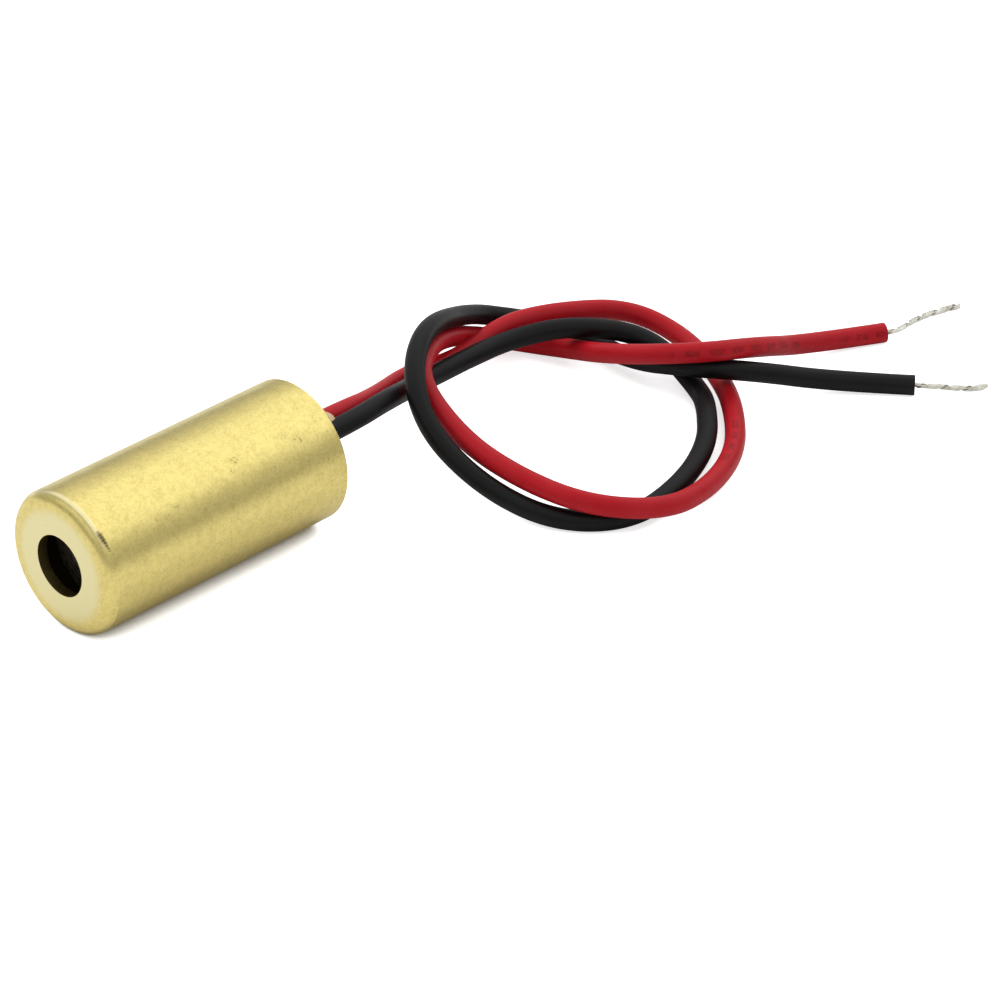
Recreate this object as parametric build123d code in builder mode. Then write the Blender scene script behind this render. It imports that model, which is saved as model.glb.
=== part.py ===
from build123d import *

import os
from math import cos, pi, radians, sin, tan

# Laser diode module: a turned brass barrel with its lens, laser diode, driver board and two knotted leads.
# The barrel lies on its side. Its axis is Y, the beam leaves along -Y through the aperture at the origin,
# and +Z is up, so the surface that it rests on is one barrel radius below the axis. Lengths are in millimetres.

# Barrel
barrel_diameter = 9.0
barrel_length = 18.6
front_wall = 0.7
aperture_diameter = 3.87
front_edge_width = 0.85
front_edge_depth = 0.65
rear_edge_chamfer = 0.15
mouth_chamfer = 0.12
barrel_wall = 0.6
lens_bore_depth = 4.4
lens_bore_step = 0.45
relief_depth = 1.5
relief_step = 0.45

# Clearance between a part and the bore that it slides into
seat_clearance = 0.02

# Lens cell, lens and focus spacer
lens_cell_length = 2.2
lens_cell_lip = 0.6
lens_cell_opening = 3.0
lens_cell_flare = 0.3
lens_diameter = 4.4
lens_edge_thickness = 0.7
lens_front_rise = 0.25
lens_rear_rise = 0.45
spacer_wall = 0.73
spacer_chamfer = 0.2

# Diode holder
holder_length = 4.6
holder_chamfer = 0.25
stem_pocket_depth = 1.9
cap_clearance = 0.15

# Laser diode can
stem_diameter = 5.6
stem_thickness = 1.2
stem_notch_width = 1.0
stem_notch_depth = 0.35
stem_key_width = 0.4
cap_flange_diameter = 4.4
cap_flange_thickness = 0.2
cap_diameter = 3.55
cap_height = 2.3
cap_wall = 0.25
cap_shoulder_radius = 0.2
window_hole = 1.6
window_diameter = 2.4
window_thickness = 0.25
post_width = 1.4
post_height = 0.7
post_length = 1.4
submount_width = 0.7
submount_length = 0.8
submount_thickness = 0.2
chip_width = 0.3
chip_length = 0.5
chip_thickness = 0.1
monitor_width = 0.6
monitor_thickness = 0.15
pin_circle = 2.0
pin_diameter = 0.45
pin_lap = 1.4
pin_head = 0.6
seal_diameter = 0.9
upper_pin_angle = 30.0

# Driver board: the pins lie on lands on both of its faces, and the resin holds its rear edge
board_side_gap = 0.8
board_length = 4.6
board_corner_radius = 0.3
land_thickness = 0.05
land_margin = 0.1
pin_land_width = 0.9
lead_land_width = 1.1
lead_land_length = 2.0

# Chip parts on the board's top. A place is across the board from its middle, then a share of its length.
chip_part_length = 1.6
chip_part_width = 0.8
resistor_height = 0.45
capacitor_height = 0.8
end_cap_length = 0.3
end_cap_rise = 0.03
bias_resistor_x = -2.54
sense_resistor_x = 2.48
filter_capacitor_x = -1.49
chip_part_share = 0.6

# Three-legged packages under the board
package_length = 2.9
package_width = 1.3
package_height = 1.0
package_standoff = 0.1
package_chamfer = 0.15
leg_width = 0.4
leg_thickness = 0.12
leg_reach = 0.55
leg_foot = 0.3
leg_pitch = 0.95
driver_transistor_x = -1.75
feedback_transistor_x = 1.75
package_share = 0.63

# Solder
solder_cover = 0.15
solder_end_radius = 0.2

# Leads
lead_diameter = 1.3
strand_bundle_diameter = 0.5
tip_diameter = 0.42
root_straight = 0.5
root_set_in = 0.4
tip_straight = 1.0

# Each lead's route from inside the resin to the end of its insulation: out of the resin, down under the loop's
# left side, round the loop, back over the first stretch and through the loop, and out along the surface.
# The middle number is the distance behind the barrel's rear end.
red_route = [
    (-0.2, -0.8, 0.95), (-0.3, 3.7, 0.85), (-2.0, 8.2, -0.7), (-4.4, 13.6, -2.1), (-4.1, 17.8, -2.6),
    (-4.3, 21.9, -1.7), (-3.4, 26.5, -2.25), (-1.5, 30.7, -3.0), (3.0, 31.3, -3.7), (8.3, 28.9, -3.85),
    (11.6, 26.3, -3.8), (14.7, 22.9, -3.8), (16.6, 18.5, -3.6), (17.3, 13.9, -2.9), (14.5, 10.3, -2.3),
    (9.5, 9.7, -2.4), (4.4, 9.5, -1.6), (-0.6, 10.6, 0.2), (-3.4, 14.3, 0.0), (-5.3, 18.1, -1.5),
    (-6.4, 22.2, -3.6), (-2.5, 24.9, -3.95), (3.2, 24.0, -1.9), (8.3, 26.0, -0.6), (9.5, 30.7, -1.5),
    (8.7, 36.0, -3.8), (11.3, 41.0, -3.85),
]
black_route = [
    (1.2, -0.8, 0.95), (1.2, 3.3, 0.95), (0.1, 7.4, 0.4), (-2.2, 11.7, -1.4), (-2.8, 17.1, -1.8),
    (-2.9, 21.2, -2.0), (-0.7, 24.6, -1.5), (2.4, 28.5, -2.6), (7.5, 27.4, -4.0), (10.5, 24.9, -3.1),
    (13.1, 22.1, -3.6), (14.9, 17.7, -3.85), (15.6, 12.6, -3.8), (12.4, 9.3, -3.85), (7.3, 8.4, -3.2),
    (3.2, 7.8, -0.8), (0.0, 9.5, 1.3), (-2.8, 13.4, 2.0), (-6.1, 20.1, -1.0), (-6.4, 23.7, -2.7),
    (-3.6, 27.4, -3.95), (2.5, 26.1, -3.4), (7.7, 26.7, -2.1), (10.4, 30.0, -2.7), (13.0, 33.7, -3.8),
    (17.1, 37.1, -3.85),
]
# Where each bare end goes once it is clear of its insulation: down to the surface, counted in the same way
red_tip_route = [(11.3, 43.8, -4.1), (11.3, 45.7, -4.25), (12.0, 47.9, -4.25)]
black_tip_route = [(18.6, 38.9, -4.15), (19.4, 39.7, -4.25), (20.1, 40.8, -4.25)]

# How far a corner's arc reaches along the shorter of its two runs
arc_share = 0.45

# Resin that closes the rear
resin_depth = 1.4
resin_recess = 0.3
resin_crown = 0.9
lump_radius = 0.8
lump_taper = 6.0
lump_x = 0.5
lump_z = 1.0
lump_reach = 2.4
lump_end_radius = 0.5

# Stations along the axis, counted from the front face
lens_seat_y = front_wall + relief_depth
lens_y = lens_seat_y + lens_cell_lip
spacer_y = lens_seat_y + lens_cell_length
holder_y = lens_seat_y + lens_bore_depth
holder_rear_y = holder_y + holder_length
stem_y = holder_rear_y - stem_pocket_depth
stem_rear_y = stem_y + stem_thickness
cap_y = stem_y - cap_height
post_front_y = stem_y - post_length
resin_rim_y = barrel_length - resin_recess
board_rear_y = resin_rim_y - resin_depth
board_y = board_rear_y - board_length
pin_end_y = board_y + pin_lap
lump_end_y = barrel_length + lump_reach

# Radii of the bores and of what slides into them
main_bore_radius = barrel_diameter / 2 - barrel_wall
lens_bore_radius = main_bore_radius - lens_bore_step
relief_radius = lens_bore_radius - relief_step
lens_seat_radius = lens_bore_radius - seat_clearance
holder_radius = main_bore_radius - seat_clearance
cap_bore_radius = cap_flange_diameter / 2 + cap_clearance
lens_radius = lens_diameter / 2
opening_radius = lens_cell_opening / 2
pin_radius = pin_diameter / 2
board_width = 2 * (main_bore_radius - board_side_gap)

# Places on the pin circle, and the heights of the laser, its submount and the board's lands
anode_place = (pin_circle / 2 * cos(radians(upper_pin_angle)), pin_circle / 2 * sin(radians(upper_pin_angle)))
cathode_place = (-anode_place[0], anode_place[1])
common_place = (0, -pin_circle / 2)
chip_base_z = -chip_thickness / 2
submount_base_z = chip_base_z - submount_thickness
top_land_z = anode_place[1] - pin_radius
bottom_land_z = common_place[1] + pin_radius
board_top_z = top_land_z - land_thickness
board_bottom_z = bottom_land_z + land_thickness
pin_land_length = pin_lap + land_margin
pin_solder_length = pin_lap - 2 * land_margin
lead_solder_length = lead_land_length - 4 * land_margin
lead_lap_y = board_rear_y - lead_land_length


def station(y):
    """The plane across the barrel at y, with local x along X and local y along Z. Its normal faces the front."""
    return Plane.XZ.offset(-y)


def board_plane(across, length_share, land_z, x_dir, z_dir):
    """The plane on the board's lands at a place on the board."""
    return Plane(origin=(across, board_y + length_share * board_length, land_z), x_dir=x_dir, z_dir=z_dir)


def behind_barrel(route):
    """A route's points in the model's frame."""
    return [Vector(x, barrel_length + y, z) for x, y, z in route]


def bend_radii(route):
    """One radius for each corner of a route, as large as its two runs allow."""
    radii = []
    for before, corner, after in zip(route, route[1:], route[2:]):
        turn = (corner - before).get_angle(after - corner)
        shorter = min((corner - before).length, (after - corner).length)
        radii.append(arc_share * shorter / tan(radians(turn / 2)))
    return radii


def tube_along(route, diameter):
    """A round tube along a route: straight runs joined by tangent arcs."""
    with BuildPart() as tube:
        with BuildLine() as path:
            FilletPolyline(*route, radius=bend_radii(route))
        with BuildSketch(Plane(path.line @ 0, z_dir=path.line % 0)):
            Circle(diameter / 2)
        sweep()
    length = path.wires()[0].length
    exact_volume = pi * (diameter / 2) ** 2 * length
    print(f"Tube {diameter:.2f} across, {length:.1f} long")
    print("  radii", ", ".join(f"{radius:.2f}" for radius in bend_radii(route)))
    print(f"  volume against section times length {tube.part.volume / exact_volume:.4f}")
    return tube.part


def root_route(route):
    """The stripped strands ahead of a lead: straight out of its insulation, then down onto a land."""
    start = route[0]
    bend = start + (start - route[1]).normalized() * root_straight
    strand_z = top_land_z + strand_bundle_diameter / 2
    foot = Vector(bend.X, board_rear_y - root_set_in, strand_z)
    return [start, bend, foot, Vector(bend.X, lead_lap_y, strand_z)]


def tip_route(route, beyond):
    """The bare end behind a lead: straight out of its insulation, then through the points beyond."""
    end = route[-1]
    onward = (end - route[-2]).normalized()
    return [end, end + onward * tip_straight, *beyond]


def pin_from(place, front_y):
    """A round pin at a place on the pin circle, from front_y to the pins' common end."""
    with BuildPart() as pin:
        with BuildSketch(station(front_y)):
            with Locations(place):
                Circle(pin_radius)
        extrude(amount=-(pin_end_y - front_y))
        fillet(pin.edges().filter_by(GeomType.CIRCLE).sort_by(Axis.Y)[-1], pin_radius / 2)
    return pin.part


def chip_part(plane, height):
    """A surface-mount chip with a metal cap on each end, lying along the plane's local x."""
    with BuildPart(plane) as chip:
        with Locations((0, 0, end_cap_rise)):
            Box(chip_part_length - end_cap_length, chip_part_width - 2 * end_cap_rise, height - 2 * end_cap_rise,
                align=(Align.CENTER, Align.CENTER, Align.MIN))
        with GridLocations(chip_part_length - end_cap_length, 0, 2, 1):
            Box(end_cap_length, chip_part_width, height, align=(Align.CENTER, Align.CENTER, Align.MIN))
    return chip.part


def three_leg_package(plane):
    """A moulded transistor with bent legs, one on the side that the plane's local x points to, two opposite."""
    knee = package_height / 2
    bend = package_width / 2 + leg_reach - leg_foot
    foot = package_width / 2 + leg_reach
    with BuildSketch() as leg_side:
        with BuildLine():
            Polyline(
                (package_width / 2, knee),
                (bend, knee),
                (bend, leg_thickness),
                (foot, leg_thickness),
                (foot, 0),
                (bend - leg_thickness, 0),
                (bend - leg_thickness, knee - leg_thickness),
                (package_width / 2, knee - leg_thickness),
                close=True,
            )
        make_face()
    leg_plane = Plane(plane.origin, x_dir=plane.x_dir, z_dir=plane.x_dir.cross(plane.z_dir))
    with BuildPart(plane) as package:
        with Locations((0, 0, package_standoff)):
            Box(package_width, package_length, package_height - package_standoff,
                align=(Align.CENTER, Align.CENTER, Align.MIN))
        chamfer(package.edges().filter_by(Axis.Y), package_chamfer)
        with BuildSketch(leg_plane):
            add(leg_side.sketch)
        with BuildSketch(leg_plane.offset(-leg_pitch), leg_plane.offset(leg_pitch)):
            mirror(leg_side.sketch, about=Plane.YZ)
        extrude(amount=leg_width / 2, both=True)
    return package.part


def solder_mound(front_y, centre_x, land_z, side, width, height, length):
    """A half-round mound of solder along Y on a land. side is 1 above the board and -1 below it."""
    with BuildPart() as mound:
        with BuildSketch(station(front_y)):
            with Locations((centre_x, land_z)):
                Ellipse(width / 2, height)
                with Locations((0, -side * height / 2)):
                    Rectangle(width, height, mode=Mode.SUBTRACT)
        extrude(amount=-length)
        ends = mound.edges().filter_by(GeomType.ELLIPSE)
        fillet(ends, solder_end_radius)
    return mound.part


# Barrel
with BuildPart() as barrel:
    with BuildSketch(Plane.XY):
        with BuildLine():
            front_face = Line((aperture_diameter / 2, 0), (barrel_diameter / 2 - front_edge_width, 0))
            front_edge = TangentArc(front_face @ 1, (barrel_diameter / 2, front_edge_depth), tangent=front_face % 1)
            Polyline(
                front_edge @ 1,
                (barrel_diameter / 2, barrel_length),
                (main_bore_radius, barrel_length),
                (main_bore_radius, holder_y),
                (lens_bore_radius, holder_y),
                (lens_bore_radius, lens_seat_y),
                (relief_radius, lens_seat_y),
                (relief_radius, front_wall),
                (aperture_diameter / 2, front_wall),
                front_face @ 0,
            )
        make_face()
    revolve(axis=Axis.Y)
    rear_rims = barrel.edges().filter_by(GeomType.CIRCLE).group_by(Axis.Y)[-1].sort_by(SortBy.RADIUS)
    chamfer(rear_rims[0], mouth_chamfer)
    rear_rims = barrel.edges().filter_by(GeomType.CIRCLE).group_by(Axis.Y)[-1].sort_by(SortBy.RADIUS)
    chamfer(rear_rims[-1], rear_edge_chamfer)

# Lens cell, seated against the step behind the relief
with BuildPart() as lens_cell:
    with BuildSketch(Plane.XY):
        with BuildLine():
            Polyline(
                (opening_radius + lens_cell_flare, lens_seat_y),
                (lens_seat_radius, lens_seat_y),
                (lens_seat_radius, spacer_y),
                (lens_radius + seat_clearance, spacer_y),
                (lens_radius + seat_clearance, lens_y),
                (opening_radius, lens_y),
                (opening_radius, lens_seat_y + lens_cell_flare),
                close=True,
            )
        make_face()
    revolve(axis=Axis.Y)

# Collimating lens: its flat edge sits on the cell's lip
with BuildPart() as collimating_lens:
    with BuildSketch(Plane.XY):
        with BuildLine():
            front_arc = ThreePointArc((-opening_radius, lens_y), (0, lens_y - lens_front_rise),
                                      (opening_radius, lens_y))
            Polyline(front_arc @ 1, (lens_radius, lens_y), (lens_radius, lens_y + lens_edge_thickness))
            rear_arc = ThreePointArc((lens_radius, lens_y + lens_edge_thickness),
                                     (0, lens_y + lens_edge_thickness + lens_rear_rise),
                                     (-lens_radius, lens_y + lens_edge_thickness))
            Polyline(rear_arc @ 1, (-lens_radius, lens_y), front_arc @ 0)
        make_face()
        split(bisect_by=Plane.YZ)
    revolve(axis=Axis.Y)

# Focus spacer: a ring from the cell to the diode holder
with BuildPart() as focus_spacer:
    with BuildSketch(station(spacer_y)):
        Circle(lens_seat_radius)
        Circle(lens_seat_radius - spacer_wall, mode=Mode.SUBTRACT)
    extrude(amount=-(holder_y - spacer_y))
    bore_rims = focus_spacer.edges().filter_by(GeomType.CIRCLE).group_by(SortBy.RADIUS)[0]
    chamfer(bore_rims, spacer_chamfer)

# Diode holder: the sleeve that carries the can's heat to the barrel
with BuildPart() as diode_holder:
    with BuildSketch(Plane.XY):
        with BuildLine():
            Polyline(
                (cap_bore_radius, holder_y),
                (holder_radius - holder_chamfer, holder_y),
                (holder_radius, holder_y + holder_chamfer),
                (holder_radius, holder_rear_y - holder_chamfer),
                (holder_radius - holder_chamfer, holder_rear_y),
                (stem_diameter / 2 + seat_clearance, holder_rear_y),
                (stem_diameter / 2 + seat_clearance, stem_y),
                (cap_bore_radius, stem_y),
                close=True,
            )
        make_face()
    revolve(axis=Axis.Y)

# Stem: the can's header, notched at its rim, with the post that the laser stands on
with BuildPart() as diode_stem:
    with BuildSketch(station(stem_y)):
        Circle(stem_diameter / 2)
        with PolarLocations(stem_diameter / 2, 2):
            Rectangle(2 * stem_notch_depth, stem_notch_width, mode=Mode.SUBTRACT)
        with Locations((0, -stem_diameter / 2)):
            Rectangle(stem_key_width, 2 * stem_notch_depth, mode=Mode.SUBTRACT)
        with Locations(anode_place, cathode_place):
            Circle(seal_diameter / 2, mode=Mode.SUBTRACT)
    extrude(amount=-stem_thickness)
    with BuildSketch(station(stem_y)):
        with Locations((0, submount_base_z)):
            Rectangle(post_width, post_height, align=(Align.CENTER, Align.MAX))
    extrude(amount=post_length)

# Cap: a drawn can with a flange at its foot and a hole at its front
with BuildPart() as diode_cap:
    with BuildSketch(Plane.XY):
        with BuildLine():
            Polyline(
                (window_hole / 2, cap_y),
                (cap_diameter / 2, cap_y),
                (cap_diameter / 2, stem_y - cap_flange_thickness),
                (cap_flange_diameter / 2, stem_y - cap_flange_thickness),
                (cap_flange_diameter / 2, stem_y),
                (cap_diameter / 2 - cap_wall, stem_y),
                (cap_diameter / 2 - cap_wall, cap_y + cap_wall),
                (window_hole / 2, cap_y + cap_wall),
                close=True,
            )
        make_face()
    revolve(axis=Axis.Y)
    cap_rims = diode_cap.edges().filter_by(GeomType.CIRCLE).group_by(Axis.Y)[0].sort_by(SortBy.RADIUS)
    fillet(cap_rims[-1], cap_shoulder_radius)

# Window, sealed to the cap's front from inside
with BuildPart() as diode_window:
    with BuildSketch(station(cap_y + cap_wall)):
        Circle(window_diameter / 2)
    extrude(amount=-window_thickness)

# Submount, on the post's front end
with BuildPart() as laser_submount:
    with BuildSketch(station(post_front_y)):
        with Locations((0, submount_base_z)):
            Rectangle(submount_width, submount_thickness, align=(Align.CENTER, Align.MIN))
    extrude(amount=-submount_length)

# Laser chip, on the barrel's axis
with BuildPart() as laser_chip:
    with BuildSketch(station(post_front_y)):
        Rectangle(chip_width, chip_thickness)
    extrude(amount=-chip_length)

# Monitor photodiode, on the stem behind the chip
with BuildPart() as monitor_photodiode:
    with BuildSketch(station(stem_y)):
        with Locations((0, submount_base_z)):
            Rectangle(monitor_width, monitor_width, align=(Align.CENTER, Align.MIN))
    extrude(amount=monitor_thickness)

# Glass seals round the two pins that pass through the stem
with BuildPart() as pin_glass_seals:
    with BuildSketch(station(stem_y)):
        with Locations(anode_place, cathode_place):
            Circle(seal_diameter / 2)
            Circle(pin_radius, mode=Mode.SUBTRACT)
    extrude(amount=-stem_thickness)

# Pins: two reach into the can, and the third is joined to the stem's rear face
with BuildPart() as anode_pin:
    add(pin_from(anode_place, stem_y - pin_head))

with BuildPart() as cathode_pin:
    add(pin_from(cathode_place, stem_y - pin_head))

with BuildPart() as common_pin:
    add(pin_from(common_place, stem_rear_y))

# Driver board, its edge between the upper pins and the lower one
with BuildPart() as driver_board:
    with BuildSketch(Plane.XY.offset(board_bottom_z)):
        with Locations((0, board_y)):
            RectangleRounded(board_width, board_length, board_corner_radius, align=(Align.CENTER, Align.MIN))
    extrude(amount=board_top_z - board_bottom_z)

# The planes that the parts stand on
bias_plane = board_plane(bias_resistor_x, chip_part_share, top_land_z, (0, 1, 0), (0, 0, 1))
sense_plane = board_plane(sense_resistor_x, chip_part_share, top_land_z, (0, 1, 0), (0, 0, 1))
filter_plane = board_plane(filter_capacitor_x, chip_part_share, top_land_z, (0, 1, 0), (0, 0, 1))
driver_plane = board_plane(driver_transistor_x, package_share, bottom_land_z, (-1, 0, 0), (0, 0, -1))
feedback_plane = board_plane(feedback_transistor_x, package_share, bottom_land_z, (1, 0, 0), (0, 0, -1))

# Lands: copper under each pin, lead, end cap and leg
leg_land = leg_foot + land_margin
leg_land_x = package_width / 2 + leg_reach - leg_foot / 2
with BuildPart() as board_lands:
    with BuildSketch(Plane.XY.offset(top_land_z)):
        with Locations((anode_place[0], board_y), (cathode_place[0], board_y)):
            Rectangle(pin_land_width, pin_land_length, align=(Align.CENTER, Align.MIN))
        with Locations((red_route[0][0], lead_lap_y), (black_route[0][0], lead_lap_y)):
            Rectangle(lead_land_width, lead_land_length, align=(Align.CENTER, Align.MIN))
    with BuildSketch(bias_plane, sense_plane, filter_plane):
        with GridLocations(chip_part_length - end_cap_length, 0, 2, 1):
            Rectangle(end_cap_length + 2 * land_margin, chip_part_width)
    with BuildSketch(driver_plane, feedback_plane):
        with Locations((leg_land_x, 0), (-leg_land_x, -leg_pitch), (-leg_land_x, leg_pitch)):
            Rectangle(leg_land, leg_width)
    with BuildSketch(Plane(origin=(0, board_y, bottom_land_z), x_dir=(-1, 0, 0), z_dir=(0, 0, -1))):
        Rectangle(pin_land_width, pin_land_length, align=(Align.CENTER, Align.MIN))
    extrude(amount=-land_thickness)

# Parts on the board
with BuildPart() as bias_resistor:
    add(chip_part(bias_plane, resistor_height))

with BuildPart() as sense_resistor:
    add(chip_part(sense_plane, resistor_height))

with BuildPart() as filter_capacitor:
    add(chip_part(filter_plane, capacitor_height))

with BuildPart() as driver_transistor:
    add(three_leg_package(driver_plane))

with BuildPart() as feedback_transistor:
    add(three_leg_package(feedback_plane))

# Leads, their stripped ends on the board and their bare ends
red_points = behind_barrel(red_route)
black_points = behind_barrel(black_route)
with BuildPart() as red_lead:
    add(tube_along(red_points, lead_diameter))

with BuildPart() as black_lead:
    add(tube_along(black_points, lead_diameter))

with BuildPart() as red_lead_root:
    add(tube_along(root_route(red_points), strand_bundle_diameter))

with BuildPart() as black_lead_root:
    add(tube_along(root_route(black_points), strand_bundle_diameter))

with BuildPart() as red_lead_tip:
    add(tube_along(tip_route(red_points, behind_barrel(red_tip_route)), tip_diameter))

with BuildPart() as black_lead_tip:
    add(tube_along(tip_route(black_points, behind_barrel(black_tip_route)), tip_diameter))

# Solder over the pins, above and below the board
pin_mound_width = pin_land_width - land_margin
pin_mound_height = pin_diameter + solder_cover
with BuildPart() as pin_solder:
    for place in (anode_place, cathode_place):
        add(solder_mound(board_y + land_margin, place[0], top_land_z, 1,
                         pin_mound_width, pin_mound_height, pin_solder_length))
    add(solder_mound(board_y + land_margin, common_place[0], bottom_land_z, -1,
                     pin_mound_width, pin_mound_height, pin_solder_length))
    for pin in (anode_pin, cathode_pin, common_pin):
        add(pin.part, mode=Mode.SUBTRACT)

# Solder over the leads' stripped strands
with BuildPart() as lead_solder:
    for route in (red_route, black_route):
        add(solder_mound(lead_lap_y + land_margin, route[0][0], top_land_z, 1, lead_land_width - land_margin,
                         strand_bundle_diameter + solder_cover, lead_solder_length))
    for root in (red_lead_root, black_lead_root):
        add(root.part, mode=Mode.SUBTRACT)

# Resin: a plug behind the board, crowned at the rear, with a lump drawn out between the leads
with BuildPart() as rear_potting:
    with BuildSketch(Plane.XY):
        with BuildLine():
            crown = ThreePointArc((-main_bore_radius, resin_rim_y), (0, resin_rim_y + resin_crown),
                                  (main_bore_radius, resin_rim_y))
            Polyline(crown @ 1, (main_bore_radius, board_rear_y), (-main_bore_radius, board_rear_y),
                     crown @ 0)
        make_face()
        split(bisect_by=Plane.YZ)
    revolve(axis=Axis.Y)
    with BuildSketch(station(lump_end_y)):
        with Locations((lump_x, lump_z)):
            Circle(lump_radius)
    extrude(amount=lump_end_y - resin_rim_y, taper=-lump_taper)
    fillet(rear_potting.edges().filter_by(GeomType.CIRCLE).sort_by(Axis.Y)[-1], lump_end_radius)
    for lead in (red_lead, black_lead, red_lead_root, black_lead_root):
        add(lead.part, mode=Mode.SUBTRACT)

pieces = {
    "barrel": barrel,
    "lens_cell": lens_cell,
    "collimating_lens": collimating_lens,
    "focus_spacer": focus_spacer,
    "diode_holder": diode_holder,
    "diode_stem": diode_stem,
    "diode_cap": diode_cap,
    "diode_window": diode_window,
    "laser_submount": laser_submount,
    "laser_chip": laser_chip,
    "monitor_photodiode": monitor_photodiode,
    "pin_glass_seals": pin_glass_seals,
    "anode_pin": anode_pin,
    "cathode_pin": cathode_pin,
    "common_pin": common_pin,
    "driver_board": driver_board,
    "board_lands": board_lands,
    "bias_resistor": bias_resistor,
    "sense_resistor": sense_resistor,
    "filter_capacitor": filter_capacitor,
    "driver_transistor": driver_transistor,
    "feedback_transistor": feedback_transistor,
    "pin_solder": pin_solder,
    "lead_solder": lead_solder,
    "red_lead_root": red_lead_root,
    "black_lead_root": black_lead_root,
    "rear_potting": rear_potting,
    "red_lead": red_lead,
    "black_lead": black_lead,
    "red_lead_tip": red_lead_tip,
    "black_lead_tip": black_lead_tip,
}

os.makedirs("parts", exist_ok=True)
for name, piece in pieces.items():
    piece.part.label = name
    export_step(piece.part, f"parts/{name}.step")
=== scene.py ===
from math import atan2, cos, pi, radians, sin

import bmesh
import bpy
from bpy.props import FloatProperty, FloatVectorProperty, IntProperty, PointerProperty
from mathutils import Matrix, Vector, noise


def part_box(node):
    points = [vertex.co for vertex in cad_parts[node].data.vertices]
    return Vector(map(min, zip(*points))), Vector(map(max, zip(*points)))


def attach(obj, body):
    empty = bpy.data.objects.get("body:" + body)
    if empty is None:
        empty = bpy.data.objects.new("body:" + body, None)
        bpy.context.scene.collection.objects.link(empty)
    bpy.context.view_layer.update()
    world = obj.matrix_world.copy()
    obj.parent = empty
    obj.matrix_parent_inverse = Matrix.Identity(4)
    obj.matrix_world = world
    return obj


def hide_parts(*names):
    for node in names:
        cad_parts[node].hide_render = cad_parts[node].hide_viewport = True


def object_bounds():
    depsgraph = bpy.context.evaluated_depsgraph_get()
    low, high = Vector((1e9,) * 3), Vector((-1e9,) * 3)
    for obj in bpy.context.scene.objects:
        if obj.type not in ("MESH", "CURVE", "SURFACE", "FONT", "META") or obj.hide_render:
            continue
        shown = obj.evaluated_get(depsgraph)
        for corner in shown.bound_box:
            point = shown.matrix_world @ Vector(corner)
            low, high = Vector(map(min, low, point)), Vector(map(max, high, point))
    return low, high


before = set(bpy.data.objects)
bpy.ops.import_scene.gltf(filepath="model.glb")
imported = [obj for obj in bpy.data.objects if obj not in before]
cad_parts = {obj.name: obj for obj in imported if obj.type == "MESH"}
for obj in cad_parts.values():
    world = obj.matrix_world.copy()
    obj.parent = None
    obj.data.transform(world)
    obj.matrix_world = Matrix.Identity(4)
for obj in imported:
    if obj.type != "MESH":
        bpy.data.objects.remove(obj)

bl_info = {
    "name": "Laser diode module",
    "version": (1, 0, 0),
    "blender": (4, 5, 0),
    "location": "3D View > Sidebar > Laser module",
    "description": "Dresses a turned brass laser diode module with its knotted leads, and sets a pale stage round it",
    "category": "Object",
}

CAD_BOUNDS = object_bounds()
MM = 0.001
UP = Vector((0, 0, 1))
BLACK = (0.0, 0.0, 0.0, 1.0)
WHITE = (1.0, 1.0, 1.0, 1.0)

# Where each lead goes, in millimetres: out of the resin, once round in a loose knot, and out along the surface
RED_ROUTE = [
    (-0.2, 17.8, 0.95), (-0.3, 22.3, 0.85), (-2.0, 26.8, -0.7), (-4.4, 32.2, -2.1), (-4.1, 36.4, -2.6),
    (-4.3, 40.5, -1.7), (-3.4, 45.1, -2.25), (-1.5, 49.3, -3.0), (3.0, 49.9, -3.7), (8.3, 47.5, -3.85),
    (11.6, 44.9, -3.8), (14.7, 41.5, -3.8), (16.6, 37.1, -3.6), (17.3, 32.5, -2.9), (14.5, 28.9, -2.3),
    (9.5, 28.3, -2.4), (4.4, 28.1, -1.6), (-0.6, 29.2, 0.2), (-3.4, 32.9, 0.0), (-5.3, 36.7, -1.5),
    (-6.4, 40.8, -3.6), (-2.5, 43.5, -3.95), (3.2, 42.6, -1.9), (8.3, 44.6, -0.6), (9.5, 49.3, -1.5),
    (8.7, 54.6, -3.8), (11.3, 59.6, -3.85),
]
BLACK_ROUTE = [
    (1.2, 17.8, 0.95), (1.2, 21.9, 0.95), (0.1, 26.0, 0.4), (-2.2, 30.3, -1.4), (-2.8, 35.7, -1.8),
    (-2.9, 39.8, -2.0), (-0.7, 43.2, -1.5), (2.4, 47.1, -2.6), (7.5, 46.0, -4.0), (10.5, 43.5, -3.1),
    (13.1, 40.7, -3.6), (14.9, 36.3, -3.85), (15.6, 31.2, -3.8), (12.4, 27.9, -3.85), (7.3, 27.0, -3.2),
    (3.2, 26.4, -0.8), (0.0, 28.1, 1.3), (-2.8, 32.0, 2.0), (-6.1, 38.7, -1.0), (-6.4, 42.3, -2.7),
    (-3.6, 46.0, -3.95), (2.5, 44.7, -3.4), (7.7, 45.3, -2.1), (10.4, 48.6, -2.7), (13.0, 52.3, -3.8),
    (17.1, 55.7, -3.85),
]
# Where each bare end goes once it is clear of its insulation
RED_TIP_ROUTE = [(11.3, 62.4, -4.1), (11.3, 64.3, -4.25), (12.0, 66.5, -4.25)]
BLACK_TIP_ROUTE = [(18.6, 57.5, -4.15), (19.4, 58.3, -4.25), (20.1, 59.4, -4.25)]

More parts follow.
